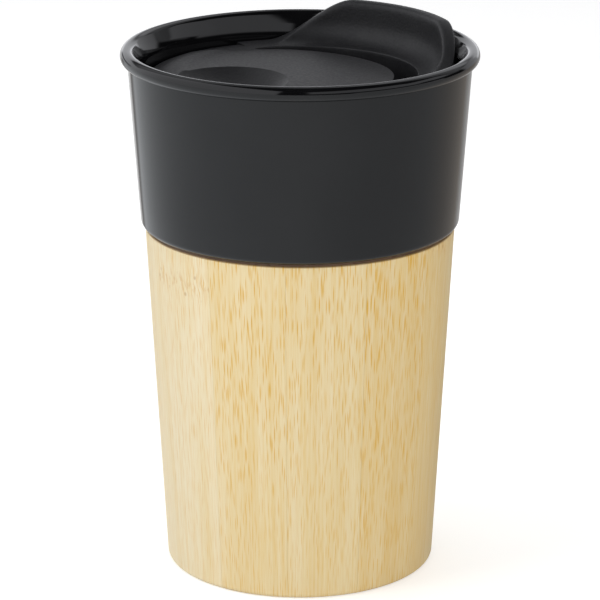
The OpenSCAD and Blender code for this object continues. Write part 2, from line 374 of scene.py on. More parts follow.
def stave_outline(inset):
    foot_in = (sleeve_in(0), 0)
    foot_out = (sleeve_out(0) - inset, 0)
    top_out = (sleeve_out(SLEEVE_TOP) - inset, SLEEVE_TOP)
    top_in = (sleeve_in(SLEEVE_TOP), SLEEVE_TOP)
    return (
        [foot_in]
        + corner(foot_in, foot_out, top_out, SLEEVE_FOOT_ROUND)
        + corner(foot_out, top_out, top_in, SLEEVE_TOP_ROUND)
        + [top_in, foot_in]
    )


def stave_grid(start, end):
    """One stave between two angles, with a small chamfer at both joints."""
    chamfer = math.degrees(JOINT_CHAMFER / SLEEVE_TOP_R)
    body = np.linspace(start + chamfer, end - chamfer, STAVE_STATIONS)
    return np.concatenate([
        turned(stave_outline(JOINT_CHAMFER), [start]),
        turned(stave_outline(0), body),
        turned(stave_outline(JOINT_CHAMFER), [end]),
    ])


def add_value(mesh, name, values):
    layer = mesh.attributes.new(name, "FLOAT", "POINT")
    layer.data.foreach_set("value", np.ascontiguousarray(values, dtype=np.float32))


def add_wood_values(mesh, middle, looks):
    """Gives a stave's points their place in the wood, for its material, and the stave's looks."""
    spot = np.empty(len(mesh.vertices) * 3)
    mesh.vertices.foreach_get("co", spot)
    x, y, z = spot.reshape(-1, 3).T / MM
    turn = (np.degrees(np.arctan2(y, x)) - middle + 180) % 360 - 180
    add_value(mesh, "arc", np.radians(turn) * SLEEVE_TOP_R)
    add_value(mesh, "rise", z)
    add_value(mesh, "depth", sleeve_out(z) - np.hypot(x, y))
    for name, value in looks:
        add_value(mesh, name, np.full(len(x), value))


def make_staves(material):
    step = 360 / STAVES
    gap = math.degrees(JOINT_GAP / SLEEVE_TOP_R)
    for i, (tone, dash, knot) in enumerate(STAVE_LOOKS):
        start = STAVE_TURN + step * i + gap
        end = STAVE_TURN + step * (i + 1) - gap
        stave = build(f"stave_{i + 1}", [stave_grid(start, end)], material)
        close_ends(stave)
        looks = (("tone", tone), ("dash", dash), ("knot", knot), ("stave", float(i)))
        add_wood_values(stave.data, (start + end) / 2, looks)
        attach(stave, "mug")
        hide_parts(f"bamboo_stave_{i + 1}")


# Lid

def ease(t):
    t = np.clip(t, 0, 1)
    return t * t * (3 - 2 * t)


def soft_min(a, b, width):
    h = np.clip(width - np.abs(a - b), 0, None) / width
    return np.minimum(a, b) - h * h * width / 4


def border_z(r):
    rise = DISH_DEPTH * ease((r - BORDER_START) / (BORDER_CREST - BORDER_START))
    roll = BORDER_ROLL * np.clip((r - BORDER_CREST) / (LID_R - BORDER_CREST), 0, 1) ** 2
    past = np.clip(r - (LID_R - LID_EDGE_ROUND), 0, LID_EDGE_ROUND)
    drop = LID_EDGE_ROUND - np.sqrt(np.maximum(LID_EDGE_ROUND ** 2 - past ** 2, 0))
    return PLATE_TOP + rise - roll - drop


def fold_drop(x):
    """How far the plate has fallen past the fold, with a soft bend at the fold."""
    past = x - FOLD_X
    return math.tan(math.radians(FOLD_FALL)) * 0.5 * (past + np.sqrt(past ** 2 + FOLD_SOFT ** 2))


def swell(x, y):
    """Rise of the lid around the scoop."""
    away = np.hypot(x - SCOOP_X, y) / SWELL_R
    dome = SWELL_RISE * (1 - away ** 2)
    drawn = ease((x - SWELL_DRAW_FROM) / (SWELL_DRAW_TO - SWELL_DRAW_FROM))
    foot = SWELL_FOOT_R - SWELL_DRAW * drawn
    brow = (foot - np.hypot(x, y)) / SWELL_BROW_W * SWELL_EDGE_RISE
    rise = soft_min(dome, brow, SWELL_BLEND)
    return -soft_min(-rise, 0 * rise, SWELL_FOOT_SOFT)


def plain_top(x, y):
    """Height of the lid's top beside the spout, without the scoop."""
    inside = ease((SLOT_EDGE_R + FOLD_FADE - np.hypot(x - SLOT_MID_X, y)) / FOLD_FADE)
    return border_z(np.hypot(x, y)) + swell(x, y) - fold_drop(x) * inside


def scoop_z(reach):
    return SCOOP_BALL_Z - np.sqrt(np.maximum(SCOOP_BALL_R ** 2 - reach ** 2, 0))


def floor_z(x, y):
    """Height of the lid's top beside the spout."""
    return soft_min(plain_top(x, y), scoop_z(np.hypot(x - SCOOP_X, y)), SCOOP_EDGE_SOFT)


def under_z(x, y):
    """Height of the plate's underside, with the shell under the scoop."""
    plate = PLATE_LOW + 0 * x
    shell_r = SCOOP_BALL_R + SCOOP_SHELL
    ball = SCOOP_BALL_Z - np.sqrt(np.maximum(shell_r ** 2 - (x - SCOOP_X) ** 2 - y ** 2, 0))
    return soft_min(plate, ball, SHELL_BLEND)


# The scoop's edge is searched for between these reaches, by halving
EDGE_LEAST = 4.0
EDGE_MOST = SCOOP_R + 0.5
EDGE_HALVINGS = 40


def scoop_reach(direction):
    """Distance from the scoop's middle to its edge, for unit directions."""
    low = np.full(len(direction), EDGE_LEAST)
    high = np.full(len(direction), EDGE_MOST)
    for _ in range(EDGE_HALVINGS):
        mid = (low + high) / 2
        top = plain_top(SCOOP_X + mid * direction[:, 0], mid * direction[:, 1])
        inside = scoop_z(mid) < top
        low = np.where(inside, mid, low)
        high = np.where(inside, high, mid)
    return (low + high) / 2


# Spout's wall

WALL_POINTS = 49
WALL_SOFTEN = 4
WALL_STRETCH = 0.3
COVE_STEPS = 24
WALL_TOP_POINTS = 12
WALL_BACK_POINTS = 20
WALL_BORDER_POINTS = 10
SLOT_EDGE_POINTS = 5
START_Z = float(border_z(DISH_R))


def spout_height(angle):
    fall = ease((abs(angle) - SPOUT_LEVEL) / SPOUT_RAMP)
    return (SPOUT_TOP - LID_Z) * (1 - fall)


def slot_round(angle):
    """Radius that softens the slot's outer edge; it fades away at the slot's ends."""
    return SLOT_EDGE_ROUND * float(ease((SLOT_TURN - abs(angle)) / SLOT_EDGE_FADE))


def wall_line(angle):
    """Radius and height up the wall's face, over its top and down its back to the lid's edge."""
    top = LID_Z + spout_height(angle)
    foot_r = LID_R - SPOUT_FOOT_INSET
    foot_z = float(border_z(foot_r))
    out_r = foot_r + (SPOUT_OUT_R - foot_r) * (top - LID_Z) / (SPOUT_TOP - LID_Z)
    start = (DISH_R, START_Z)
    bend = (SPOUT_IN_R - SPOUT_FACE_LEAN, START_Z)
    crest = (SPOUT_IN_R, SPOUT_TOP)
    face = [start] + corner(start, bend, crest, SPOUT_COVE_R, COVE_STEPS) + [crest]
    line = [(r, max(min(z, top), float(border_z(r))))
            for r, z in spread(face, WALL_STRETCH) if z <= top or r < out_r]
    over = np.linspace(line[-1][0], out_r, WALL_TOP_POINTS)[1:]
    line += [(r, max(top, float(border_z(r)))) for r in over]
    end_z = line[-1][1]
    back = np.linspace(0, 1, WALL_BACK_POINTS)[1:]
    line += [(out_r + (foot_r - out_r) * t, end_z + (foot_z - end_z) * t) for t in back]
    border = np.linspace(foot_r, LID_R, WALL_BORDER_POINTS)[1:]
    line += [(r, float(border_z(r))) for r in border]
    return np.array(line)


def spout_section(angle):
    """The wall's line in even steps and softened, from the slot's rounded edge on."""
    line = wall_line(angle)
    length = np.concatenate([[0], np.cumsum(np.hypot(*np.diff(line, axis=0).T))])
    at = np.linspace(0, length[-1], WALL_POINTS)
    line = np.stack([np.interp(at, length, line[:, 0]), np.interp(at, length, line[:, 1])], axis=1)
    for _ in range(WALL_SOFTEN):
        line[1:-1] = (line[:-2] + 2 * line[1:-1] + line[2:]) / 4
    turns = np.linspace(0, math.pi / 2, SLOT_EDGE_POINTS)
    size = slot_round(angle)
    edge_r = DISH_R + size * (1 - np.cos(turns))
    edge_z = START_Z - size * (1 - np.sin(turns))
    return np.concatenate([np.stack([edge_r, edge_z], axis=1), line[1:]])


# Lid's top and underside, as fans from the scoop's middle

BOWL_RINGS = 14
BOWL_SHARE = 0.96
LIP_STEPS = (-0.3, -0.18, -0.08, 0, 0.08, 0.18, 0.3)
LIP_SPARE = 0.45
FLOOR_RINGS = 30
FLOOR_CROWD = 1.6
RIM_STEPS = (0.5, 0.32, 0.2, 0.1, 0.03, 0)
RIM_SPARE = 0.7
UNDER_RINGS = 20


def fan(boundary, distances, height):
    """Grid from the scoop's middle out to each boundary point; height gives z inside it."""
    middle = np.array([SCOOP_X, 0.0])
    ray = boundary[:, :2] - middle
    reach = np.hypot(*ray.T)
    direction = ray / reach[:, None]
    steps = distances(direction, reach)
    xy = middle + steps[:, :, None] * direction[:, None, :]
    z = height(xy[:, :, 0], xy[:, :, 1])
    grid = np.concatenate([xy, z[:, :, None]], axis=2)
    grid[:, -1] = boundary
    grid[:, 0] = grid[0, 0]
    return grid


def top_steps(direction, reach):
    """Rings that are dense in the bowl, at its lip and near the boundary."""
    edge = scoop_reach(direction)[:, None]
    bowl = edge * np.sin(np.linspace(0, np.pi / 2, BOWL_RINGS))[None, :] * BOWL_SHARE
    lip = edge + np.array(LIP_STEPS)[None, :]
    share = np.linspace(0, 1, FLOOR_RINGS)[None, :]
    start = edge + LIP_SPARE
    crowded = share * (FLOOR_CROWD - (FLOOR_CROWD - 1) * share)
    past = start + (reach[:, None] - start) * crowded
    near = reach[:, None] - np.array(RIM_STEPS)[None, :]
    past = np.minimum(past[:, :-1], reach[:, None] - RIM_SPARE)
    return np.sort(np.concatenate([bowl, lip, past, near], axis=1), axis=1)


def under_steps(direction, reach):
    return reach[:, None] * np.linspace(0, 1, UNDER_RINGS)[None, :]


# Angles of the spout's wall along the slot and past its ends, and of the rest of the lid
SLOT_STATIONS = 97
SIDE_STATIONS = 3
REST_STATIONS = 151
SLOT_TURNS = np.linspace(-SLOT_TURN, SLOT_TURN, SLOT_STATIONS)
SIDE_TURNS = np.linspace(SLOT_TURN, WALL_TURN, SIDE_STATIONS)
WALL_TURNS = np.concatenate([-SIDE_TURNS[::-1], SLOT_TURNS[1:-1], SIDE_TURNS])
REST_TURNS = np.linspace(WALL_TURN, 360 - WALL_TURN, REST_STATIONS)
FREE_EDGE_POINTS = 81
END_WALL_POINTS = 7
LEVELS = 5
SKIRT_STEPS = 4


def slot_plan():
    """Plan and top height of the slot's free side: end wall, free edge, end wall."""
    end_y = math.sqrt(SLOT_EDGE_R ** 2 - (FOLD_X - SLOT_MID_X) ** 2)
    end_turn = math.degrees(math.atan2(end_y, FOLD_X - SLOT_MID_X))
    free = np.radians(np.linspace(-end_turn, end_turn, FREE_EDGE_POINTS))
    edge = np.stack([SLOT_MID_X + SLOT_EDGE_R * np.cos(free), SLOT_EDGE_R * np.sin(free)], axis=1)
    wall_y = DISH_R * math.sin(math.radians(SLOT_TURN))
    end_ys = np.linspace(end_y, wall_y, END_WALL_POINTS)[1:]
    end = np.stack([np.full(len(end_ys), FOLD_X), end_ys], axis=1)
    plan = np.concatenate([end[::-1] * [1, -1], edge, end])
    off_edge = np.zeros(len(end))
    on_edge = np.concatenate([off_edge, np.ones(len(edge)), off_edge])
    height = floor_z(plan[:, 0], plan[:, 1]) - FREE_EDGE_ROUND * on_edge
    height[[0, -1]] = START_Z
    return plan, height


def at_height(plan, height):
    return np.concatenate([plan, np.broadcast_to(height, len(plan))[:, None]], axis=1)


def around(slot, side, end, rest):
    """Closed line: the slot's free side, the wall's one side and end, the rest, and back."""
    flip = np.array([1, -1, 1])
    line = np.concatenate([
        slot, side[1:-1], end[:-1], rest[:-1],
        (end * flip)[::-1][:-1], (side * flip)[::-1][:-1],
    ])
    return np.concatenate([line, line[:1]])


def top_grid(plan, height, wall):
    side = turned([(DISH_R, START_Z)], SIDE_TURNS)[:, 0]
    rest = turned([(LID_R, float(border_z(LID_R)))], REST_TURNS)[:, 0]
    return fan(around(at_height(plan, height), side, wall[-1], rest), top_steps, floor_z)


def under_grid(plan):
    side = turned([(DISH_R, PLATE_LOW)], SIDE_TURNS)[:, 0]
    end = turned([(r, PLATE_LOW) for r in (DISH_R, CURTAIN_OUT_R, SKIRT_IN_R)], [WALL_TURN])[0]
    rest = turned([(SKIRT_IN_R, PLATE_LOW)], REST_TURNS)[:, 0]
    return fan(around(at_height(plan, PLATE_LOW), side, end, rest), under_steps, under_z)


def slot_face(angle):
    """The slot's outer side, below its rounded edge."""
    levels = np.linspace(START_Z - slot_round(angle), PLATE_LOW, LEVELS)
    return turned([(DISH_R, z) for z in levels], [angle])[0]


def curtain_end(angle):
    lines = [[(DISH_R, z), (CURTAIN_OUT_R, z)] for z in (PLATE_LOW, CURTAIN_LOW)]
    return np.stack([turned(line, [angle])[0] for line in lines])


def skirt_outline():
    """Half outline from the skirt's inside under it, past the seal's groove to the lid's edge."""
    groove_low = SEAL_LOW[2] - SEAL_FIT
    groove_high = SEAL_HIGH[2] + SEAL_FIT
    in_top = (SKIRT_IN_R, PLATE_LOW)
    in_low = (SKIRT_IN_R, SKIRT_LOW)
    out_low = (SKIRT_R, SKIRT_LOW)
    edge_under = (LID_R, PLATE_LOW)
    edge = (LID_R, float(border_z(LID_R)))
    return (
        [in_top]
        + corner(in_top, in_low, out_low, SKIRT_ROUND, SKIRT_STEPS)
        + corner(in_low, out_low, (SKIRT_R, groove_low), SKIRT_ROUND, SKIRT_STEPS)
        + [(SKIRT_R, groove_low), (GROOVE_R, groove_low)]
        + [(GROOVE_R, groove_high), (SKIRT_R, groove_high), (SKIRT_R, PLATE_LOW)]
        + corner((SKIRT_R, PLATE_LOW), edge_under, edge, EDGE_UNDER_ROUND, SKIRT_STEPS)
        + [edge]
    )


def lid_grids():
    plan, height = slot_plan()
    wall = np.stack([turned(spout_section(a), [a])[0] for a in WALL_TURNS])
    drops = np.linspace(0, 1, LEVELS)
    fall = PLATE_LOW - height
    free_side = np.stack([at_height(plan, height + fall * t) for t in drops], axis=1)
    collar = turned([(r, PLATE_LOW) for r in (CURTAIN_OUT_R, SKIRT_IN_R)], WALL_TURNS)
    curtain_outline = [
        (DISH_R, PLATE_LOW), (DISH_R, CURTAIN_LOW),
        (CURTAIN_OUT_R, CURTAIN_LOW), (CURTAIN_OUT_R, PLATE_LOW),
    ]
    return [
        top_grid(plan, height, wall),
        wall,
        free_side,
        under_grid(plan),
        collar,
        np.stack([slot_face(a) for a in SLOT_TURNS]),
        turned(curtain_outline, WALL_TURNS),
        turned(skirt_outline(), np.concatenate([WALL_TURNS, REST_TURNS[1:]])),
        curtain_end(WALL_TURN),
        curtain_end(-WALL_TURN),
    ]


def make_lid(material):
    lid = build("lid", lid_grids(), material, LID_SMOOTH)
    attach(lid, "lid")
    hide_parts("lid_body")


# Materials

def linear(red, green, blue):
    """Linear colour of an sRGB one with channels from 0 to 255."""
    def channel(v):
        v = v / 255
        return v / 12.92 if v <= 0.04045 else ((v + 0.055) / 1.055) ** 2.4
    return (channel(red), channel(green), channel(blue), 1.0)


def grey(value):
    return (value, value, value, 1.0)


class Tree:
    """A node tree with short calls for the nodes that are used here."""

    def __init__(self, owner):
        owner.use_nodes = True
        self.nodes = owner.node_tree.nodes
        self.links = owner.node_tree.links

    def give(self, socket, value):
        """Sets a socket to a plain value, or links an output to it."""
        if isinstance(value, (int, float, tuple)):
            socket.default_value = value
        else:
            self.links.new(value, socket)

    def fill(self, kind, values):
        """A new node whose first inputs get these values."""
        node = self.nodes.new(kind)
        for socket, value in zip(node.inputs, values):
            self.give(socket, value)
        return node

    def math(self, operation, *values):
        node = self.fill("ShaderNodeMath", values)
        node.operation = operation
        return node.outputs[0]

    def combine(self, *values):
        return self.fill("ShaderNodeCombineXYZ", values).outputs[0]

    def value(self, name):
        """A value that the mesh carries at its points."""
        node = self.nodes.new("ShaderNodeAttribute")
        node.attribute_name = name
        return node.outputs["Fac"]

    def place(self, kind="Object"):
        return self.nodes.new("ShaderNodeTexCoord").outputs[kind]

    def noise(self, vector, scale=1.0, detail=2.0, rough=0.5):
        node = self.nodes.new("ShaderNodeTexNoise")
        node.inputs["Scale"].default_value = scale
        node.inputs["Detail"].default_value = detail
        node.inputs["Roughness"].default_value = rough
        self.links.new(vector, node.inputs["Vector"])
        return node.outputs["Fac"]

    def cells(self, vector, dimensions):
        """Distance to the middle of the nearest cell, and that cell's random colour."""
        node = self.nodes.new("ShaderNodeTexVoronoi")
        node.voronoi_dimensions = dimensions
        node.inputs["Scale"].default_value = 1.0
        self.links.new(vector, node.inputs["Vector"])
        return node.outputs["Distance"], node.outputs["Color"]

    def step(self, value, low, high):
        """Rises from 0 to 1 between low and high, or falls where low is the larger."""
        node = self.nodes.new("ShaderNodeMapRange")
        node.interpolation_type = "SMOOTHSTEP"
        self.links.new(value, node.inputs["Value"])
        falls = low > high
        node.inputs["From Min"].default_value = min(low, high)
        node.inputs["From Max"].default_value = max(low, high)
        node.inputs["To Min"].default_value = 1.0 if falls else 0.0
        node.inputs["To Max"].default_value = 0.0 if falls else 1.0
        return node.outputs["Result"]

    def ramp(self, factor, stops):
        node = self.nodes.new("ShaderNodeValToRGB")
        band = node.color_ramp
        while len(band.elements) < len(stops):
            band.elements.new(0.5)
        for element, (position, color) in zip(band.elements, stops):
            element.position = position
            element.color = color
        self.links.new(factor, node.inputs["Fac"])
        return node.outputs["Color"]

    def tint(self, base, amount, share, color):
        """The base with a share of a colour mixed in where the amount is 1."""
        node = self.nodes.new("ShaderNodeMix")
        node.data_type = "RGBA"
        sockets = {s.identifier: s for s in node.inputs}
        self.links.new(self.math("MULTIPLY", amount, share), sockets["Factor_Float"])
        self.links.new(base, sockets["A_Color"])
        sockets["B_Color"].default_value = color
        return next(s for s in node.outputs if s.identifier == "Result_Color")

    def stain(self, base, value, low, high, share, color):
        """The base with a share of a colour mixed in where a value has gone from low to high."""
        return self.tint(base, self.step(value, low, high), share, color)

    def bump(self, shader, height, strength, distance):
        node = self.nodes.new("ShaderNodeBump")
        node.inputs["Strength"].default_value = strength
        node.inputs["Distance"].default_value = distance * MM
        self.links.new(height, node.inputs["Height"])
        self.links.new(node.outputs["Normal"], shader.inputs["Normal"])

    def background(self, color, strength):
        node = self.nodes.new("ShaderNodeBackground")
        node.inputs["Color"].default_value = color
        self.give(node.inputs["Strength"], strength)
        return node.outputs[0]

    def either(self, factor, first, second):
        """The first shader where the factor is 0 and the second where it is 1."""
        return self.fill("ShaderNodeMixShader", (factor, first, second)).outputs[0]


def plain_material(name, tint, colors, haze, gloss, ior, relief, bump):
    """A material whose colour, roughness and relief each follow a noise.

    tint, haze and relief are these noises: cells per metre, detail and roughness. colors and gloss
    are the stops of colour and of roughness, and bump is the relief's strength and height.
    """
    material = bpy.data.materials.new(name)
    tree = Tree(material)
    shader = tree.nodes["Principled BSDF"]
    place = tree.place()
    color = tree.ramp(tree.noise(place, *tint), colors)
    rough = tree.ramp(tree.noise(place, *haze), [(at, grey(value)) for at, value in gloss])
    tree.links.new(color, shader.inputs["Base Color"])
    tree.links.new(rough, shader.inputs["Roughness"])
    shader.inputs["IOR"].default_value = ior
    tree.bump(shader, tree.noise(place, *relief), *bump)
    return material


def glaze_material():
    return plain_material(
        "black_glaze",
        tint=(60.0, 3.0, 0.5),
        colors=((0.3, (0.002, 0.002, 0.0024, 1)), (0.7, (0.004, 0.004, 0.0046, 1))),
        haze=(900.0, 2.0, 0.5),
        gloss=((0.3, 0.07), (0.7, 0.09)),
        ior=1.52,
        relief=(90.0, 1.0, 0.5),
        bump=(0.06, 0.3),
    )


def lid_material():
    return plain_material(
        "lid_plastic",
        tint=(120.0, 3.0, 0.5),
        colors=((0.3, (0.006, 0.006, 0.007, 1)), (0.7, (0.010, 0.010, 0.011, 1))),
        haze=(1500.0, 2.0, 0.5),
        gloss=((0.3, 0.44), (0.7, 0.56)),
        ior=1.5,
        relief=(1500.0, 2.0, 0.5),
        bump=(0.9, 0.06),
    )


def rubber_material():
    return plain_material(
        "seal_rubber",
        tint=(260.0, 4.0, 0.6),
        colors=((0.35, (0.020, 0.020, 0.021, 1)), (0.75, (0.034, 0.034, 0.036, 1))),
        haze=(260.0, 4.0, 0.6),
        gloss=((0.3, 0.52), (0.7, 0.64)),
        ior=1.45,
        relief=(2200.0, 2.0, 0.5),
        bump=(0.4, 0.03),
    )


def glue_material():
    return plain_material(
        "adhesive",
        tint=(140.0, 3.0, 0.5),
        colors=((0.3, linear(78, 54, 34)), (0.7, linear(100, 72, 46))),
        haze=(140.0, 3.0, 0.5),
        gloss=((0.3, 0.22), (0.7, 0.34)),
        ior=1.5,
        relief=(140.0, 3.0, 0.5),
        bump=(0.4, 0.1),
    )


# Places in the wood: cells per mm across and along the fibres, and a shift
SWERVE_CELLS = (0.35, 0.22, 91.0)
WIDE_CELLS = (0.22, 0.012, 3.0)
STREAK_CELLS = (1.7, 0.03, 11.0)
FIBRE_CELLS = (5.0, 0.14, 23.0)
PATCH_CELLS = (0.16, 0.03, 61.0)
WAVER_CELLS = (0.45, 0.0, 71.0)
SMUDGE_CELLS = (1.3, 0.35, 83.0)
DOT_CELLS = (0.42, 0.3, 97.0)
# Cells per mm into the wood, and the shift from one stave to the next
DEPTH_CELLS = 0.6
STAVE_SHIFT = 17.3
DASH_STAVE_SHIFT = 31.7

# The board's tones from pale to deep, and its streaks and fibres: where their noise starts to
# show and shows in full, their share and their colour
BOARD_TONES = (
    (0.0, linear(241, 228, 196)), (0.5, linear(234, 214, 167)), (1.0, linear(226, 198, 140)))
WIDE_SWING = 0.9
STREAKS = (0.42, 0.72, 0.35, linear(229, 194, 116))
PALE_STREAKS = (0.5, 0.28, 0.26, linear(244, 232, 202))
FINE_FIBRES = (0.5, 0.75, 0.32, linear(226, 188, 108))

# Layers of fibre dashes: cells per mm across and along, a shift and the width of a dash's core
DASH_LAYERS = ((1.5, 0.09, 5.0, 0.26), (1.3, 0.08, 47.0, 0.24), (1.1, 0.07, 29.0, 0.24))
# A dash is full in this share of its core, and its cell's chance makes it strong or weak
DASH_FULL = 0.2
DASH_CHANCE = (-0.1, 0.9)
# The dashes are weaker outside patches, and get stronger with height: gain for each mm
PATCHES = (0.3, 0.55)
PATCH_LEAST = 0.5
DASH_LEAST = 0.6
DASH_GAIN = 0.009
DASHES = (1.0, linear(222, 173, 66))

# Knots: how far the fibres swerve and the knot's line wavers, in mm, and its marks with their
# size and how far off the line they still show
SWERVE_REACH = 9.0
SWERVE = 1.6
WAVER = 9.0
SMUDGE_SIZE = (0.46, 0.64)
SMUDGE_OFF_LINE = (3.2, 0.2)
SMUDGES = (0.55, linear(214, 170, 100))
DOT_SIZE = (0.24, 0.08)
DOT_OFF_LINE = (3.6, 2.0)
DOTS = (0.45, linear(184, 138, 76))

# Painted shade along the staves' top edge under the band, in brown: the heights where it starts and
# is full, its share and its colour
PAINTED_SHADE_UNDER_BAND = (SLEEVE_TOP - 0.4, SLEEVE_TOP - 0.1, 0.7, linear(120, 80, 42))

# The wood's roughness and relief: the plain wood's, and what the fibres and dashes add
WOOD_ROUGH = 0.36
FIBRE_ROUGH = 0.16
FIBRE_RELIEF = 0.5
DASH_RELIEF = 0.15
WOOD_BUMP = (0.35, 0.06)
WOOD_IOR = 1.45


class Wood(Tree):
    """The bamboo's tree, with each point's place across, along and into the fibres, in mm."""

    def __init__(self, owner):
        super().__init__(owner)
        self.arc, self.rise, self.depth = (self.value(n) for n in ("arc", "rise", "depth"))
        self.tone, self.dash, self.stave = (self.value(n) for n in ("tone", "dash", "stave"))
        self.from_knot = self.math("SUBTRACT", self.rise, self.value("knot"))
        self.arc = self.math("ADD", self.arc, self.swerve())

    def inside(self, across, along, shift):
        """A vector through the wood with these cells per mm, shifted for each stave."""
        seed = self.math("MULTIPLY_ADD", self.stave, STAVE_SHIFT, shift)
        inner = self.math("MULTIPLY_ADD", self.depth, DEPTH_CELLS, seed)
        x = self.math("MULTIPLY", self.arc, across)
        return self.combine(x, self.math("MULTIPLY", self.rise, along), inner)

    def swerve(self):
        """How far the fibres near a knot leave their straight way."""
        near = self.step(self.math("ABSOLUTE", self.from_knot), SWERVE_REACH, 0.0)
        way = self.noise(self.inside(*SWERVE_CELLS), detail=1.0)
        way = self.math("SUBTRACT", way, 0.5)
        return self.math("MULTIPLY", way, self.math("MULTIPLY", near, SWERVE))

    def board(self, fibre):
        """Pale wood with wide shades, streaks and fine fibres."""
        wide = self.noise(self.inside(*WIDE_CELLS))
        streak = self.noise(self.inside(*STREAK_CELLS), detail=3.0, rough=0.6)
        # The stave's tone holds painted shade in part: deeper on the staves to the camera's right,
        # where less light falls
        shade = self.math("MULTIPLY_ADD", self.math("SUBTRACT", wide, 0.5), WIDE_SWING, self.tone)
        base = self.ramp(shade, BOARD_TONES)
        base = self.stain(base, streak, *STREAKS)
        base = self.stain(base, streak, *PALE_STREAKS)
        return self.stain(base, fibre, *FINE_FIBRES)

    def dash_layer(self, across, along, shift, width):
        """Cell middles stretched along the fibres, some stronger than others."""
        seed = self.math("MULTIPLY_ADD", self.stave, DASH_STAVE_SHIFT, shift)
        x = self.math("MULTIPLY_ADD", self.arc, across, seed)
        vector = self.combine(x, self.math("MULTIPLY", self.rise, along), 0.0)
        distance, color = self.cells(vector, "2D")
        core = self.step(distance, width, width * DASH_FULL)
        chance = self.fill("ShaderNodeSeparateColor", [color]).outputs[0]
        return self.math("MULTIPLY", core, self.step(chance, *DASH_CHANCE))

    def dashes(self):
        """Strength of the fibre dashes, in patches and growing with height."""
        marks, *others = (self.dash_layer(*facts) for facts in DASH_LAYERS)
        for layer in others:
            marks = self.math("MAXIMUM", marks, layer)
        patch = self.step(self.noise(self.inside(*PATCH_CELLS), detail=1.0), *PATCHES)
        patch = self.math("MULTIPLY_ADD", patch, 1 - PATCH_LEAST, PATCH_LEAST)
        marks = self.math("MULTIPLY", marks, self.math("MULTIPLY", self.dash, patch))
        growth = self.math("MULTIPLY_ADD", self.rise, DASH_GAIN, DASH_LEAST)
        return self.math("MULTIPLY", marks, growth)

    def knots(self, base):
        """Broken brown marks along a wavering line, with a few darker dots."""
        waver = self.math("SUBTRACT", self.noise(self.inside(*WAVER_CELLS)), 0.5)
        line = self.math("ADD", self.from_knot, self.math("MULTIPLY", waver, WAVER))
        off_line = self.math("ABSOLUTE", line)
        broken = self.step(self.noise(self.inside(*SMUDGE_CELLS)), *SMUDGE_SIZE)
        smudge = self.math("MULTIPLY", self.step(off_line, *SMUDGE_OFF_LINE), broken)
        base = self.tint(base, smudge, *SMUDGES)
        distance = self.cells(self.inside(*DOT_CELLS), "3D")[0]
        dot = self.step(distance, *DOT_SIZE)
        dot = self.math("MULTIPLY", dot, self.step(off_line, *DOT_OFF_LINE))
        return self.tint(base, dot, *DOTS)


def bamboo_material():
    material = bpy.data.materials.new("bamboo_wood")
    wood = Wood(material)
    shader = wood.nodes["Principled BSDF"]
    fibre = wood.noise(wood.inside(*FIBRE_CELLS), rough=0.6)
    marks = wood.dashes()
    base = wood.tint(wood.board(fibre), wood.math("MINIMUM", marks, 1.0), *DASHES)
    base = wood.knots(base)
    # Painted shade: the staves' top edge under the band is darkened to brown
    base = wood.stain(base, wood.rise, *PAINTED_SHADE_UNDER_BAND)
    rough = wood.math("MULTIPLY_ADD", fibre, FIBRE_ROUGH, WOOD_ROUGH)
    wood.links.new(base, shader.inputs["Base Color"])
    wood.links.new(rough, shader.inputs["Roughness"])
    shader.inputs["IOR"].default_value = WOOD_IOR
    grooves = wood.math("MULTIPLY", marks, DASH_RELIEF)
    relief = wood.math("SUBTRACT", wood.math("MULTIPLY", fibre, FIBRE_RELIEF), grooves)
    wood.bump(shader, relief, *WOOD_BUMP)
    return material


def dress(node, material):
    """Gives a carried-over CAD node its material."""
    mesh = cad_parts[node].data
    mesh.materials.clear()
    mesh.materials.append(material)


# Stage

WORLD_LIGHT = 0.42
WORLD_COLOR = (0.97, 0.98, 1.0, 1)
STUDIO_COLOR = (0.98, 0.99, 1.03, 1)
WHITE = (1, 1, 1, 1)

# What reflections see above the floor: upright cards round a dark studio. A card has the azimuth
# that it stands at, from the camera's side towards the right; its two sides and its foot and
# head, each as a share of its distance, with their fades; and how bright it is. Directions that
# go toward a card less than LEAST_TOWARD count as that much
STUDIO_DARK = 0.015
LEAST_TOWARD = 0.001
CARDS = (
    (180, (-1.5, 1.5, 0.3), (0.7, 2.2, 0.3), 0.42),
    (180, (-0.45, 0.27, 0.15), (-0.3, 0.26, 0.17), 1.0),
    (180, (-0.45, 0.27, 0.15), (-0.3, 0.1, 0.08), 1.4),
    (-148, (-0.55, 0.55, 0.12), (0.15, 0.38, 0.05), 1.0),
    (-148, (-0.6, 0.6, 0.1), (-0.3, 0.04, 0.03), 0.9),
    (145, (-0.25, 0.25, 0.15), (-0.05, 0.35, 0.1), 0.6),
    (115, (-0.35, 0.35, 0.15), (0.33, 0.6, 0.1), 0.33),
    (90, (-0.35, 0.35, 0.15), (0.38, 0.75, 0.1), 0.75),
    (-75, (-1.6, 1.7, 0.2), (0.1, 2.4, 0.4), 0.95),
    (45, (-0.75, 0.7, 0.15), (0.35, 1.1, 0.15), 0.7),
    (68, (-0.6, 0.6, 0.15), (-0.3, 0.04, 0.07), 0.7),
    (160, (-0.2, 0.2, 0.12), (0.5, 1.6, 0.2), 0.85),
)

# The floor's half width, its grey and roughness, and how much lighter camera rays see it
FLOOR_HALF = 3000.0
FLOOR_GREY = 0.84
FLOOR_ROUGH = 0.9
FLOOR_LIFT = 0.45
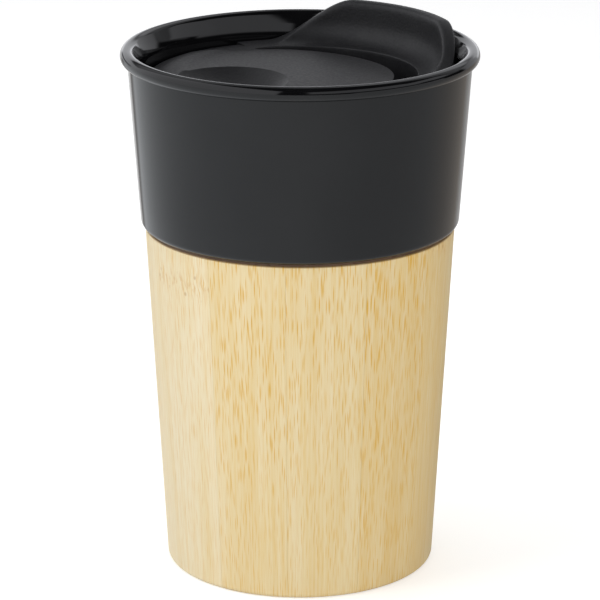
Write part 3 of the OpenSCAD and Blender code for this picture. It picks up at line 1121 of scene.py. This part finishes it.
# How bright and how warm a reflection finds the floor, by where it meets the floor: the turn
# round the mug of that place, from 0 at the camera's side through the right
FLOOR_GLOW = 1.22
FLOOR_SEEN = (
    (0.0, 0.62, -0.03),
    (0.12, 0.5, -0.03),
    (0.25, 0.41, -0.02),
    (0.32, 0.37, 0.06),
    (0.395, 0.34, 0.1),
    (0.412, 0.43, 0.02),
    (0.48, 0.47, 0.0),
    (0.52, 0.75, 0.0),
    (0.562, 0.85, 0.0),
    (0.583, 0.2, 0.04),
    (0.602, 0.78, -0.03),
    (0.85, 0.7, -0.04),
    (1.0, 0.62, -0.03),
)

# Lamps: where each stands and aims at, its size, its power in watts and its colour. Places are
# to the right of, behind and above the mug as the photograph sees it
LAMPS = (
    ("key", (-760, -200, 620), (0, 0, 70), (620, 620), 4.1, (1.0, 0.99, 0.97)),
    ("top", (-60, 260, 800), (0, 0, 100), (620, 460), 1.6, (1.0, 1.0, 1.0)),
    ("front", (360, -840, 350), (0, 0, 50), (520, 520), 3.3, (1.0, 0.98, 0.95)),
)


def photo_place(right, back, up):
    """A place given to the right of, behind and above the mug as the photograph sees it."""
    a = math.radians(PHOTO_AZ + 90)
    x = right * math.cos(a) - back * math.sin(a)
    y = right * math.sin(a) + back * math.cos(a)
    return (x * MM, y * MM, up * MM)


def add_camera():
    data = bpy.data.cameras.new("camera")
    data.sensor_width = CAMERA_SENSOR
    data.lens = CAMERA_LENS
    data.clip_start = CAMERA_NEAR * MM
    data.clip_end = CAMERA_FAR * MM
    camera = bpy.data.objects.new("camera", data)
    camera.location = photo_place(0, -CAMERA_OUT, CAMERA_UP)
    camera.rotation_euler = (math.radians(90 - CAMERA_PITCH), 0, math.radians(PHOTO_AZ + 90))
    bpy.context.scene.collection.objects.link(camera)
    bpy.context.scene.camera = camera


def add_lamp(name, place, aim, size, power, color):
    """A soft lamp that lights the mug and stays out of its reflections."""
    data = bpy.data.lights.new(name, "AREA")
    data.shape = "RECTANGLE"
    data.size = size[0] * MM
    data.size_y = size[1] * MM
    data.energy = power
    data.color = color
    lamp = bpy.data.objects.new(name, data)
    here = np.array(photo_place(*place))
    ray = np.array(photo_place(*aim)) - here
    lamp.location = here
    tilt = math.atan2(math.hypot(ray[0], ray[1]), -ray[2])
    lamp.rotation_euler = (tilt, 0, math.atan2(ray[1], ray[0]) - math.pi / 2)
    lamp.visible_glossy = False
    bpy.context.scene.collection.objects.link(lamp)


def along(tree, direction, right, back, up):
    """How far a direction goes along another one."""
    node = tree.nodes.new("ShaderNodeVectorMath")
    node.operation = "DOT_PRODUCT"
    tree.links.new(direction, node.inputs[0])
    node.inputs[1].default_value = tuple(unit(np.array(photo_place(right, back, up))))
    return node.outputs["Value"]


def between(tree, value, low, high, fade):
    """1 from low to high, fading to 0 outside them."""
    rise = tree.step(value, low - fade, low)
    return tree.math("MULTIPLY", rise, tree.step(value, high + fade, high))


def card(tree, direction, azimuth, sides, heights, bright):
    """Brightness of one card, 0 outside it."""
    turn = math.radians(azimuth)
    toward = along(tree, direction, math.sin(turn), -math.cos(turn), 0)
    aside = along(tree, direction, math.cos(turn), math.sin(turn), 0)
    up = along(tree, direction, 0, 0, 1)
    near = tree.math("MAXIMUM", toward, LEAST_TOWARD)
    wide = between(tree, tree.math("DIVIDE", aside, near), *sides)
    tall = between(tree, tree.math("DIVIDE", up, near), *heights)
    return tree.math("MULTIPLY", tree.math("MULTIPLY", wide, tall), bright)


def add_world():
    """Plain light for matt surfaces, the studio for reflections and white for the camera."""
    world = bpy.data.worlds.new("studio")
    tree = Tree(world)
    tree.nodes.clear()
    direction = tree.place("Generated")
    level = STUDIO_DARK
    for facts in CARDS:
        level = tree.math("MAXIMUM", card(tree, direction, *facts), level)
    path = tree.nodes.new("ShaderNodeLightPath").outputs
    light = tree.background(WORLD_COLOR, WORLD_LIGHT)
    studio = tree.background(STUDIO_COLOR, level)
    white = tree.background(WHITE, 1.0)
    lit = tree.either(path["Is Glossy Ray"], light, studio)
    seen = tree.math("MAXIMUM", path["Is Camera Ray"], path["Is Transmission Ray"])
    output = tree.nodes.new("ShaderNodeOutputWorld")
    tree.links.new(tree.either(seen, lit, white), output.inputs["Surface"])
    bpy.context.scene.world = world


def floor_glow(tree):
    """What a reflection finds where it meets the floor."""
    spot = tree.nodes.new("ShaderNodeSeparateXYZ")
    tree.links.new(tree.place(), spot.inputs[0])
    turn = tree.math("ARCTAN2", spot.outputs["Y"], spot.outputs["X"])
    turn = tree.math("MULTIPLY_ADD", turn, 1 / (2 * math.pi), -PHOTO_AZ / 360)
    turn = tree.math("FRACT", tree.math("ADD", turn, 1.0))
    stops = [(at, (value * (1 + warm), value, value * (1 - warm), 1.0))
             for at, value, warm in FLOOR_SEEN]
    glow = tree.nodes.new("ShaderNodeEmission")
    tree.links.new(tree.ramp(turn, stops), glow.inputs["Color"])
    glow.inputs["Strength"].default_value = FLOOR_GLOW
    return glow.outputs[0]


def floor_material():
    """Pale and matt; camera rays see it a little lighter, so that it ends up white."""
    material = bpy.data.materials.new("floor")
    tree = Tree(material)
    shader = tree.nodes["Principled BSDF"]
    shader.inputs["Base Color"].default_value = grey(FLOOR_GREY)
    shader.inputs["Roughness"].default_value = FLOOR_ROUGH
    path = tree.nodes.new("ShaderNodeLightPath").outputs
    lift = tree.math("MULTIPLY", path["Is Camera Ray"], FLOOR_LIFT)
    shader.inputs["Emission Color"].default_value = WHITE
    tree.links.new(lift, shader.inputs["Emission Strength"])
    surface = tree.either(path["Is Glossy Ray"], shader.outputs[0], floor_glow(tree))
    tree.links.new(surface, tree.nodes["Material Output"].inputs["Surface"])
    return material


def add_floor():
    half = FLOOR_HALF * MM
    corners = [(-half, -half, 0), (half, -half, 0), (half, half, 0), (-half, half, 0)]
    mesh = bpy.data.meshes.new("floor")
    mesh.from_pydata(corners, [], [(0, 1, 2, 3)])
    floor = bpy.data.objects.new("floor", mesh)
    floor.data.materials.append(floor_material())
    bpy.context.scene.collection.objects.link(floor)


add_camera()
add_world()
add_floor()
for lamp_facts in LAMPS:
    add_lamp(*lamp_facts)

make_cup(glaze_material())
make_staves(bamboo_material())
make_lid(lid_material())
dress("lid_seal", rubber_material())
glue = glue_material()
dress("upper_adhesive", glue)
dress("lower_adhesive", glue)

bpy.context.scene.view_settings.view_transform = "Standard"
